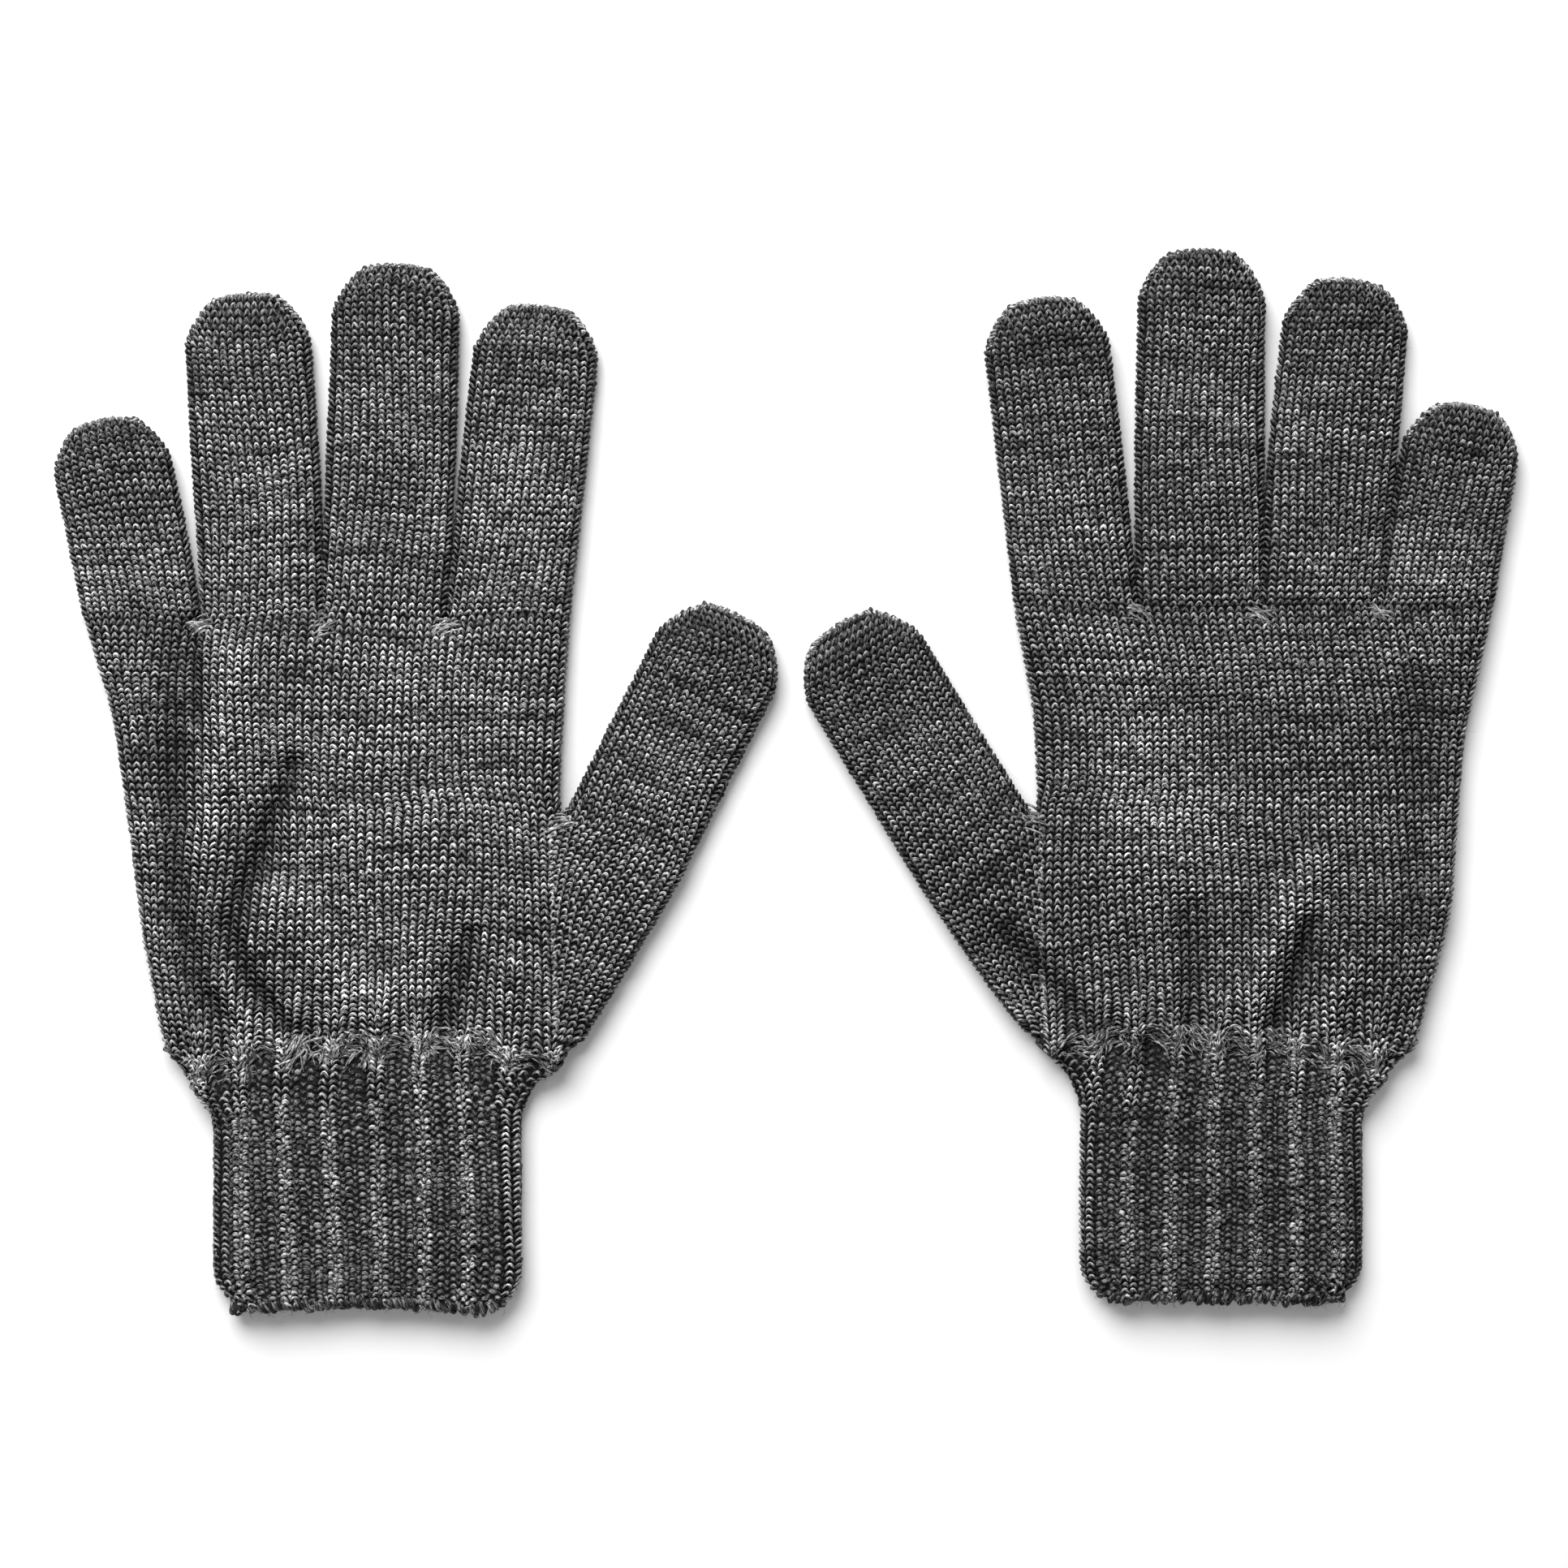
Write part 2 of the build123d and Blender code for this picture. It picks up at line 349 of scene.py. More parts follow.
class Waves:
    """A smooth random surface over the plan: a few sine waves in seeded directions."""

    def __init__(self, wavelength, count=7):
        turn = random.uniform(0.0, 2.0 * math.pi, count)
        size = 2.0 * math.pi / (wavelength * random.uniform(0.6, 1.7, count))
        self.waves = np.stack([np.cos(turn) * size, np.sin(turn) * size], axis=1)
        self.phases = random.uniform(0.0, 2.0 * math.pi, count)

    def at(self, plan):
        angles = np.asarray(plan) @ self.waves.T + self.phases
        return np.sin(angles).sum(axis=-1) / math.sqrt(len(self.phases))


class Plan:
    """One glove's flat plan, read off the frame: its edges, its digits, and its place on the table."""

    def __init__(self, side):
        self.side = side
        self.way = SIDES[side]
        low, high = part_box(f"{side}_cuff_hem")
        self.middle = (low.x + high.x) / 2
        self.mouth = low.y
        self.wrist = (high.x - low.x) / 2
        outline = self.outline_corners(f"{side}_hand")
        self.digits = {name: Digit(self, name) for name in (*FINGERS, "thumb")}
        self.fork = np.mean([self.digits[name].fork_point()[1] for name in FINGERS])
        rising = outline[np.argsort(outline[:, 1])]
        leftmost = np.minimum.accumulate(rising[:, 0])
        self.left_corners = rising[(rising[:, 0] <= leftmost) & (rising[:, 0] < -0.7 * self.wrist)]
        beside = outline[(outline[:, 0] > self.wrist) & (outline[:, 1] < self.fork - WEB_BELOW_FORK)]
        beside = beside[beside[:, 1] > WEB_ABOVE]
        self.web_corners = np.array([beside[np.argmin(beside[:, 0])], beside[np.argmax(beside[:, 1])]])
        ball = outline[(outline[:, 0] > self.wrist) & (outline[:, 1] < BALL_BELOW)]
        self.ball = ball[np.argmax(ball[:, 1])]
        self.undulation = Waves(WAVE_LENGTH)
        self.sways = [Waves(length) for length in SWAY_LENGTHS]

    def from_world(self, points):
        points = np.asarray(points, float)
        across = (points[..., 0] - self.middle) * self.way
        return np.stack([across, points[..., 1] - self.mouth], axis=-1)

    def to_world(self, plan, height):
        x = self.middle + self.way * plan[..., 0]
        y = self.mouth + plan[..., 1]
        return np.stack([x, y, np.broadcast_to(height, x.shape)], axis=-1)

    def vertices(self, node):
        mesh = frame["nodes"][node].data
        points = np.empty(len(mesh.vertices) * 3, np.float32)
        mesh.vertices.foreach_get("co", points)
        return points.reshape(-1, 3).astype(float)

    def outline_corners(self, node):
        """The corners of a node's widest outline, which lies at the middle of its height or near it."""
        points = self.vertices(node)
        heights = np.unique(np.round(points[:, 2], 5))
        level = heights[heights < points[:, 2].max() / 2][-1]
        ring = points[np.abs(points[:, 2] - level) < 0.02 * MM]
        return np.unique(np.round(self.from_world(ring), 6), axis=0)

    def left_edge(self, v):
        """Across the glove to its outer edge, the one away from the thumb."""
        corners = self.left_corners
        return self.eased(v, corners[:, 0], corners[:, 1], -1)

    def right_edge(self, v):
        """Across the glove to the cuff's edge on the thumb's side, out as far as the ball of the thumb."""
        top = self.ball + (self.web_corners[0] - self.ball) * [1.0, 0.5]
        corners = np.array([[self.wrist, 0.0], [self.wrist, CUFF_STRAIGHT_TO], self.ball, top])
        return self.eased(v, corners[:, 0], corners[:, 1], 1)

    def eased(self, v, across, along, side):
        """An outline through corners, from the wrist's edge on."""
        along = np.concatenate([[0.0], along])
        across = np.concatenate([[side * self.wrist], across])
        weights = 1.0 - (np.linspace(-1, 1, 13) / 1.1) ** 2
        return rounded_line(v, along, across, OUTLINE_ROUNDING, 13, weights)

    def palm_thumb_side(self, v):
        """Across the glove to where the palm meets the thumb, and above that to the palm's own edge."""
        corners = self.web_corners
        index = self.digits["index"]
        last = index.fork_point() + [index.root_half, 0.0]
        corners = np.concatenate([corners, [last]])
        return rounded_line(v, corners[:, 1], corners[:, 0], WEB_ROUNDING, 9)


class Digit:
    """One finger or thumb: its axis and its widths, from the frame's joints and nodes."""

    def __init__(self, plan, name):
        self.name = name
        prefix = f"{plan.side}_{name}"
        self.segments = ("base", "tip") if name == "thumb" else ("base", "middle", "tip")
        joints = [JOINTS[f"{prefix}_{segment}_bend"] for segment in self.segments]
        hinges = [plan.from_world(joint["pos_m"]) for joint in joints]
        self.base = hinges[0]
        self.along = unit(hinges[-1] - hinges[0])
        self.across = np.array([self.along[1], -self.along[0]])
        self.hinges = [float((hinge - self.base) @ self.along) for hinge in hinges]
        self.root_half = self.half_at_node(plan, f"{prefix}_base")
        self.tip_half = self.half_at_node(plan, f"{prefix}_tip")
        tip = plan.from_world(plan.vertices(f"{prefix}_tip"))
        self.length = ((tip - self.base) @ self.along).max()
        self.end = self.base + self.along * self.length
        self.bodies = [f"{plan.side}_glove"] + [f"{prefix}_{segment}" for segment in self.segments]

    def half_at_node(self, plan, node):
        points = plan.from_world(plan.vertices(node))
        return np.abs((points - self.base) @ self.across).max()

    def fork_point(self):
        return self.base - self.along * FORK_TO_HINGE

    def half_width(self, back):
        """Half the width at a distance back from the tip: a closed end, then nearly straight edges."""
        straight = mix(self.tip_half, self.root_half, np.clip(back / self.length, 0, 1))
        turn = np.clip(1.0 - back / (SHOULDER_LENGTH * self.tip_half), 0.0, 1.0)
        end = mix(FLAT_TOP, 1.0, (1.0 - turn**SHOULDER_ROUNDNESS) ** (1 / SHOULDER_ROUNDNESS))
        corner = np.clip(1.0 - back / TIP_CORNER, 0.0, 1.0)
        return straight * end - TIP_CORNER_INSET * corner**2


class Tube:
    """A flattened knitted tube on a grid: a row for each course, and columns from its left edge to its right.

    The first face is the one that looks up, the second lies on the table.
    """

    def __init__(self, plan, left, right, left_round, right_round, height, anchor, wales=None):
        self.plan = plan
        each_row = [np.broadcast_to(size, len(left)) for size in (left_round, right_round, height)]
        left_round, right_round, height = each_row
        run = unit(right - left)
        left = left + run * WALL_OUT * smooth(left_round / FREE_EDGE)[:, None]
        right = right - run * WALL_OUT * smooth(right_round / FREE_EDGE)[:, None]
        width = np.linalg.norm(right - left, axis=1)
        self.wales = width / WALE if wales is None else wales
        self.stitches = (2 * np.ceil(self.wales / 2 - 0.3)).astype(int)
        self.anchor = anchor
        self.rows = len(left)
        self.shade = np.ones(self.rows)
        self.edge_painted_shade = 1.0
        self.columns = COLUMNS_PER_STITCH * int(self.stitches.max()) + 1
        faces = np.empty((2, self.rows, self.columns, 3))
        for row in range(self.rows):
            rounding = (left_round[row], right_round[row])
            faces[0, row] = self.section(left[row], right[row], rounding, height[row], 1, UPPER_ROUNDNESS)
            faces[1, row] = self.section(left[row], right[row], rounding, height[row], -1, LOWER_ROUNDNESS)
        raised = (faces[0, :, :, 2] - MIDDLE_HEIGHT) / HALF_HEIGHT
        faces[0] += relief(plan, plan.from_world(faces[0])) * np.clip(raised, 0, 1)[..., None]
        self.faces = faces
        self.normals = self.find_normals()

    def section(self, left, right, rounding, height, way, roundness):
        """Evenly spaced points over one face of the tube, at one course."""
        width = np.linalg.norm(right - left)
        spread = 0.5 - 0.5 * np.cos(np.linspace(0, math.pi, 90))
        rise = np.ones_like(spread)
        for edge, radius in zip((spread, 1.0 - spread), rounding):
            inset = np.clip(edge * width / min(radius, 0.5 * width), 0, 1)
            rise = rise * (1.0 - (1.0 - inset) ** roundness) ** (1.0 / roundness)
        rise = rise * height
        steps = np.hypot(np.diff(spread) * width, np.diff(rise))
        travelled = running(steps)
        even = np.linspace(0.0, travelled[-1], self.columns)
        share = np.interp(even, travelled, spread)
        lift = np.interp(even, travelled, rise)
        flat = left + (right - left) * share[:, None]
        return self.plan.to_world(flat, MIDDLE_HEIGHT + way * lift)

    def find_normals(self):
        down_rows = np.gradient(self.faces, axis=1)
        along_columns = np.gradient(self.faces, axis=2)
        normals = unit(np.cross(along_columns, down_rows))
        for face, way in ((0, 1), (1, -1)):
            normals[face] *= way * np.sign(normals[face, ..., 2].sum())
        for edge in (0, -1):
            shared = unit(normals[0, :, edge] + normals[1, :, edge])
            normals[:, :, edge] = shared
        return normals

    def on_row(self, face, wale, row):
        share = self.anchor + wale / self.wales[row]
        column = np.clip(share, 0.0, 1.0) * (self.columns - 1)
        low = np.minimum(column.astype(int), self.columns - 2)
        part = (column - low)[..., None]
        point = mix(self.faces[face, row, low], self.faces[face, row, low + 1], part)
        normal = mix(self.normals[face, row, low], self.normals[face, row, low + 1], part)
        return point, normal

    def locate(self, face, wale, course):
        """The wall's point and outward direction, at wales from the anchor and courses from the first row."""
        row = np.clip(np.floor(course).astype(int), 0, self.rows - 2)
        part = (course - row)[..., None]
        near, near_normal = self.on_row(face, wale, row)
        far, far_normal = self.on_row(face, wale, row + 1)
        return mix(near, far, part), unit(mix(near_normal, far_normal, np.clip(part, 0, 1)))


class Weave:
    """Gathers yarns and black sheets of painted shade, each a tube of quads, then makes them one mesh."""

    def __init__(self):
        self.points = []
        self.quads = []
        self.yarn_uvs = []
        self.bake_uvs = []
        self.tones = []
        self.count = 0
        self.strips = 0

    def add(self, points, tone, along=None, closed=False):
        """A tube of quads over rings of points. `along` gives each ring's distance in metres."""
        rows, columns = points.shape[:2]
        index = self.count + np.arange(rows * columns).reshape(rows, columns)
        row = np.arange(rows if closed else rows - 1)
        row, column = [ids.ravel() for ids in np.meshgrid(row, np.arange(columns), indexing="ij")]
        corner_rows = np.stack([row, row, row + 1, row + 1], axis=1)
        corner_columns = np.stack([column, column + 1, column + 1, column], axis=1)
        self.quads.append(index[corner_rows % rows, corner_columns % columns])
        if along is None:
            along = np.arange(rows + 1) * COURSE
        around = corner_columns / columns
        self.yarn_uvs.append(np.stack([along[corner_rows] / MM, self.strips + around], axis=-1))
        self.bake_uvs.append(np.stack([corner_rows / rows, self.strips + around], axis=-1))
        self.points.append(points.reshape(-1, 3))
        self.tones.append(np.broadcast_to(tone, (rows, columns)).ravel())
        self.count += rows * columns
        self.strips += 1

    def add_yarn(self, path, outwards, radius, closed=False, sides=YARN_SIDES, tone=1.0):
        """A yarn along a path, kept out of the table. `outwards` points roughly away from the wall."""
        path = np.column_stack([path[:, :2], np.maximum(path[:, 2], radius)])
        following = np.roll(path, -1, axis=0)
        ahead = unit(following - np.roll(path, 1, axis=0) if closed else np.gradient(path, axis=0))
        side = unit(np.cross(ahead, outwards))
        up = np.cross(side, ahead)
        angles = np.linspace(0, 2 * math.pi, sides, endpoint=False)
        radius = np.broadcast_to(radius, len(path))[:, None, None]
        rim = np.cos(angles)[None, :, None] * up[:, None] + np.sin(angles)[None, :, None] * side[:, None]
        points = path[:, None] + rim * radius
        along = running(np.linalg.norm(following - path, axis=1)) + random.uniform(0, 1)
        if np.ndim(tone) == 1:
            tone = np.asarray(tone)[:, None]
        self.add(points, tone, along, closed)

    def make(self, name, material):
        points = np.concatenate(self.points)
        quads = np.concatenate(self.quads)
        mesh = bpy.data.meshes.new(name)
        mesh.vertices.add(len(points))
        mesh.vertices.foreach_set("co", points.astype(np.float32).ravel())
        mesh.loops.add(quads.size)
        mesh.loops.foreach_set("vertex_index", quads.astype(np.int32).ravel())
        mesh.polygons.add(len(quads))
        mesh.polygons.foreach_set("loop_start", np.arange(0, quads.size, 4, dtype=np.int32))
        mesh.update(calc_edges=True)
        mesh.shade_smooth()
        bake = np.concatenate(self.bake_uvs) / [1.0, self.strips]
        for layer, values in (("yarn", np.concatenate(self.yarn_uvs)), ("OFBake", bake)):
            uvs = mesh.uv_layers.new(name=layer)
            uvs.data.foreach_set("uv", values.astype(np.float32).ravel())
        # Each point's tone: the yarn's own marl times the painted shade and highlight worked out for it
        tone = mesh.attributes.new("tone", "FLOAT", "POINT")
        tone.data.foreach_set("value", np.concatenate(self.tones).astype(np.float32))
        mesh.materials.append(material)
        piece = bpy.data.objects.new(name, mesh)
        bpy.context.scene.collection.objects.link(piece)
        return piece


def rippled(shape, size, spread=5):
    """Seeded noise of a given size, smoothed along the first axis, whose end runs on into its start."""
    shape = np.atleast_1d(shape)
    noise = random.normal(0.0, 1.0, shape)
    kernel = np.hanning(spread + 2)[1:-1]
    kernel /= np.linalg.norm(kernel)
    reach = spread // 2
    around = np.pad(noise, [(reach, reach)] + [(0, 0)] * (noise.ndim - 1), mode="wrap")
    return size * np.apply_along_axis(lambda line: np.convolve(line, kernel, mode="valid"), 0, around)


def knit_course(weave, tube, course, rib=None):
    """One course: a closed yarn, looped once for each stitch over the top face and back along the other."""
    stitches = tube.stitches[course]
    even = np.arange(stitches * LOOP_SAMPLES) / LOOP_SAMPLES
    turns = even + ARCH_SAMPLES_BIAS * np.sin(2 * math.pi * even) / (2 * math.pi)
    angle = 2 * math.pi * turns
    arch = -(np.cos(angle) + ARCH_POINT * np.cos(3 * angle)) / (1 + ARCH_POINT)
    drop = course - ARCH_HEIGHT / 2 * arch
    depth = ARCH_LIFT * arch
    # Painted shade on the legs, painted highlight on the arch
    shade = mix(LEG_PAINTED_SHADE, ARCH_PAINTED_HIGHLIGHT, smooth(0.46 + 0.6 * arch))
    flattened = 1.0 if rib is None else UNDERSIDE_RELIEF
    radius = np.full(len(turns), YARN_RADIUS)
    looseness = np.full(len(turns), LOOSENESS)
    if rib is not None:
        plain, raised, from_rib_edge = rib(tube, course, even)
        bump = np.cos(2 * angle)
        drop = mix(course - PURL_HEIGHT / 2 * arch, drop, plain)
        depth = mix(PURL_LIFT * bump, depth, plain) + RIB_RELIEF * raised
        # Purl: painted highlight on the bumps, painted shade between them
        purl_painted_light = mix(PURL_PAINTED_SHADE, PURL_PAINTED_HIGHLIGHT, smooth(0.5 + 0.5 * bump))
        # A line of painted shade where plain and purl ribs meet, and painted light by how raised a rib lies
        near_rib_edge = np.exp(-((from_rib_edge / RIB_EDGE_REACH) ** 2))
        rib_painted_light = mix(*RIB_PAINTED_LIGHT_RANGE, smooth(1.0 + 0.9 * raised))
        shade = mix(purl_painted_light, shade, plain) * rib_painted_light * (1 - RIB_EDGE_PAINTED_SHADE * near_rib_edge)
        radius = radius * mix(PURL_THICKNESS, 1.0, plain)
        looseness = mix(PURL_LOOSENESS, looseness, plain)
    path = []
    outwards = []
    wale = turns - ARCH_SPREAD * np.sin(angle)
    for face, reading in ((0, wale), (1, stitches - wale)):
        point, normal = tube.locate(face, filled(tube, course, reading), drop)
        path.append(point + normal * (depth * (1.0 if face == 0 else flattened))[:, None])
        outwards.append(normal)
    path = np.concatenate(path)
    outwards = np.concatenate(outwards)
    # Painted shade where the wall turns sideways, darker the less it faces up
    sideways_painted_shade = mix(SIDEWAYS_PAINTED_SHADE, 1.0, np.clip(np.abs(outwards[:, 2]), 0, 1) ** 1.6)
    # Painted shade and highlight from the folds and gathers
    painted_fold_light = fold_painted_light(tube.plan, tube.plan.from_world(path)) * tube.shade[min(course, tube.rows - 1)]
    path = path + rippled((2 * len(turns), 3), 1.0) * np.tile(looseness, 2)[:, None]
    radius = np.tile(radius, 2) * (1 + np.clip(rippled(len(path), *THICK_AND_THIN), -0.25, 0.25))
    tone = 1.0 + rippled(len(path), *STREAKS) + rippled(len(path), *SPOTS) + random.normal(0, COURSE_TONE)
    from_edge = np.minimum(turns, stitches - turns)
    # Painted shade near the tube's edges
    shade = shade * mix(tube.edge_painted_shade, 1.0, smooth(from_edge / EDGE_REACH))
    tone = np.clip(tone, DARKEST, LIGHTEST) * np.tile(shade, 2) * sideways_painted_shade * painted_fold_light
    weave.add_yarn(path, outwards, radius, closed=True, tone=tone)


def filled(tube, course, wale):
    """Wales from the anchor. The outer few are closed up or stretched, so that the course fills its width."""
    stitches = tube.stitches[course]
    extra = stitches - tube.wales[min(course, tube.rows - 1)]
    near_left = 1 - np.clip(wale / FILLING_WALES, 0, 1)
    near_right = 1 - np.clip((stitches - wale) / FILLING_WALES, 0, 1)
    filling = tube.anchor * near_left - (1 - tube.anchor) * near_right
    return wale - tube.anchor * stitches + extra * filling


def all_round(grid, rows):
    """A tube's grid over some courses, with its two faces joined into one closed band."""
    return np.concatenate([grid[0, rows], grid[1, rows, -2:0:-1]], axis=1)


def add_shade_sheet(weave, tube, first, last):
    """A black sheet of painted shade inside the wall, behind the stitches, so that no light shows through
    them.
    """
    rows = slice(first, last + 1)
    wall = all_round(tube.faces, rows) - all_round(tube.normals, rows) * SHADE_SHEET_DEPTH
    # Tone 0: the sheet is black, painted shade
    weave.add(wall, tone=0.0)


def add_fuzz(weave, tube, first, last, count):
    """Short curved fibres that stand off the stitches."""
    for _ in range(count):
        course = random.uniform(first, last)
        row = int(course)
        stitches = tube.stitches[row]
        face = int(random.uniform() < FUZZ_UNDERNEATH)
        wale = (random.uniform() - tube.anchor) * stitches
        start, normal = tube.locate(face, np.array([wale]), np.array([course]))
        heading = unit(random.normal(0, 1, 3) + normal[0] * 0.4)
        bend = random.normal(0, 0.5, 3)
        length = random.uniform(*FUZZ_LENGTHS) * MM
        share = np.linspace(0, 1, 5)[:, None]
        path = start[0] + normal[0] * FUZZ_STANDS_OFF + heading * share * length + bend * share**2 * length
        weave.add_yarn(path, normal[0], FUZZ_RADIUS * (1.1 - share[:, 0]), sides=3, tone=FUZZ_TONE)


def knit_stretch(tube, first, last, rib=None, fuzz=0):
    """Some courses of a tube, with a black sheet of painted shade behind them and loose fibres on them."""
    weave = Weave()
    for course in range(first, last):
        knit_course(weave, tube, course, rib)
    add_shade_sheet(weave, tube, first, min(last, tube.rows - 1))
    add_fuzz(weave, tube, first, last - 1, fuzz)
    return weave


def finger_tube(plan, digit):
    """A finger from its tip to the fork line; its courses turn from square to level as they near the fork."""
    reach = (digit.end[1] - plan.fork) / digit.along[1]
    rows = int(round(reach / COURSE))
    back = np.linspace(FIRST_COURSE, reach, rows + 1)
    share = smooth(back / reach)[:, None]
    facing = unit(mix(digit.across, np.array([1.0, 0.0]), share))
    full = digit.half_width(back)
    half = full / (facing @ digit.across)
    centre = digit.end - digit.along * back[:, None]
    height = closing_height(back)
    free = smooth((reach - back) / FINGER_FREE_OVER)
    inner = mix(JOINED_EDGE, full, free)
    outer = mix(PALM_EDGE, full, free)
    left_round = outer if digit.name == "little" else inner
    right_round = outer if digit.name == "index" else inner
    spread_left = 0 if digit.name == "little" else SPREAD_TO_NEXT
    spread_right = 0 if digit.name == "index" else SPREAD_TO_NEXT
    fuller = smooth(back / (SPREAD_FROM * reach)) * mix(SPREAD_AT_FORK, 1.0, free)
    left = centre - facing * (half + spread_left * fuller)[:, None]
    right = centre + facing * (half + spread_right * fuller)[:, None]
    wales = digit_wales(digit, back)
    tube = Tube(plan, left, right, left_round, right_round, height, 0.5, wales)
    finish_digit(tube, digit, back, rows, reach)
    return tube


def finish_digit(tube, digit, back, rows, reach):
    """Shades a digit's tube and rounds its closed end outwards, with courses bowed less away from the tip."""
    tube.shade = mix(TIP_SHADE, 1.0, smooth(back / TIP_FADE))
    tube.edge_painted_shade = DIGIT_EDGE_PAINTED_SHADE
    tube.fork_row = rows
    tube.reach = reach
    share = np.linspace(-1, 1, tube.columns)
    bow = TIP_BOW * np.exp(-back / BOW_FADE)[:, None] * (1 - share**2)
    way = tube.plan.to_world(digit.along, 0.0) - tube.plan.to_world(np.zeros(2), 0.0)
    tube.faces += bow[..., None] * way
    tube.normals = tube.find_normals()


def closing_height(back):
    """Half the thickness of a digit at a distance back from its tip, where its two faces close together."""
    opening = np.clip((back - TIP_CLOSES_AT) / TIP_FULL_AFTER, 0, 1)
    return HALF_HEIGHT * np.sqrt(1 - (1 - opening) ** 2)


def digit_wales(digit, back):
    """Wales across a digit at a distance back from its tip: a set number, and fewer over its closed end."""
    straight = mix(digit.tip_half, digit.root_half, np.clip(back / digit.length, 0, 1))
    return most_wales(digit) * digit.half_width(back) / straight


def most_wales(digit):
    """The wales across one face of a digit, round its edges to the middle of its thickness."""
    return 2 * round(((digit.tip_half + digit.root_half) / 2 + HALF_HEIGHT / 2) / WALE)


def thumb_tube(plan, digit):
    """The thumb and, below its fork, the wedge of courses that joins it to the palm."""
    reach = digit.length + FORK_TO_HINGE
    outer_root = digit.fork_point() + digit.across * digit.root_half
    outer_run = unit(plan.ball - outer_root)
    wedge = np.linalg.norm(plan.ball - outer_root) + WEDGE_PAST_BALL
    rows = int(round(reach / COURSE))
    back = np.linspace(FIRST_COURSE, reach, rows + 1)
    half = digit.half_width(back)[:, None]
    centre = digit.end - digit.along * back[:, None]
    left = centre - digit.across * half
    right = centre + digit.across * half
    below = np.arange(1, int(wedge / COURSE) + 1) * COURSE
    outer = outer_root + outer_run * below[:, None]
    bow = WEDGE_BOW * np.sin(np.clip(below / wedge, 0, 1) * math.pi)
    outer = outer + digit.across * bow[:, None]
    below_ball = outer[:, 1] < plan.ball[1]
    cuff_edge = plan.right_edge(outer[below_ball, 1]) + 0.4 * MM
    outer[below_ball, 0] = np.minimum(outer[below_ball, 0], cuff_edge)
    boundary = plan.web_corners[0][0] - GUSSET_OVERLAP
    run = (outer[:, 0] - boundary) / digit.across[0]
    run = np.maximum(run, WEDGE_NARROWEST)
    inner = outer - digit.across * run[:, None]
    left = np.concatenate([left, inner])
    right = np.concatenate([right, outer])
    distance = np.concatenate([back, reach + below])
    width = np.linalg.norm(right - left, axis=1)
    height = closing_height(distance)
    free = smooth((reach - distance) / THUMB_FREE_OVER)
    left_round = mix(JOINED_EDGE, width / 2, free)
    right_round = mix(np.minimum(GUSSET_EDGE, 0.8 * width), width / 2, free)
    wales = np.concatenate([digit_wales(digit, back), run / (2 * digit.root_half) * most_wales(digit)])
    tube = Tube(plan, left, right, left_round, right_round, height, 1.0, wales)
    finish_digit(tube, digit, distance, rows, reach)
    tube.shade *= THUMB_SHADE
    return tube


def palm_tube(plan):
    """The palm from the fork line to the gathers, against the thumb's wedge on its inner side."""
    reach = plan.fork - GATHER_ABOVE_MOUTH
    rows = int(round(reach / COURSE))
    v = plan.fork - np.linspace(0.0, reach, rows + 1)
    left = np.stack([plan.left_edge(v), v], axis=1)
    right = np.stack([plan.palm_thumb_side(v), v], axis=1)
    above_thumb = smooth((v - plan.web_corners[0][1] - 1 * MM) / (12 * MM))
    right_round = mix(JOINED_EDGE, PALM_EDGE, above_thumb)
    return Tube(plan, left, right, PALM_EDGE, right_round, HALF_HEIGHT, 1.0)


def cuff_tube(plan):
    top = GATHER_ABOVE_MOUTH + CUFF_UNDER_PALM
    rows = int(round((top - HEM_ABOVE_MOUTH) / COURSE))
    v = np.linspace(top, HEM_ABOVE_MOUTH, rows + 1)
    turn = 1 - np.clip(v / CUFF_CORNER, 0, 1)
    inset = CUFF_CORNER_INSET * CUFF_CORNER * (1 - np.sqrt(1 - turn**2))
    left = np.stack([plan.left_edge(v) + inset, v], axis=1)
    right = np.stack([plan.right_edge(v) - inset, v], axis=1)
    narrow = 2 * (plan.wrist - WALL_OUT)
    wales = (right[:, 0] - left[:, 0] - 2 * WALL_OUT) / narrow * RIB_STITCHES
    wales = np.maximum(wales, RIB_STITCHES - 2)
    tube = Tube(plan, left, right, CUFF_EDGE, CUFF_EDGE, HALF_HEIGHT, 0.5, wales)
    beside = np.abs(plan.from_world(tube.faces)[..., 0]) - plan.wrist + MOUTH_BOW_WIDTH
    rounding_up = MOUTH_BOW * np.clip(beside / MOUTH_BOW_WIDTH, 0, 1) ** 2.5
    tube.faces[..., 1] += rounding_up * np.exp(-v / MOUTH_BOW_FADE)[:, None]
    tube.normals = tube.find_normals()
    tube.above_mouth = v
    tube.shade = mix(HEM_SHADE, CUFF_SHADE, smooth(v / MOUTH_SHADE_FADE))
    tube.rib_ends = random.normal(0, RAGGED_RIB_ENDS, 2 * RIB_STITCHES)
    return tube


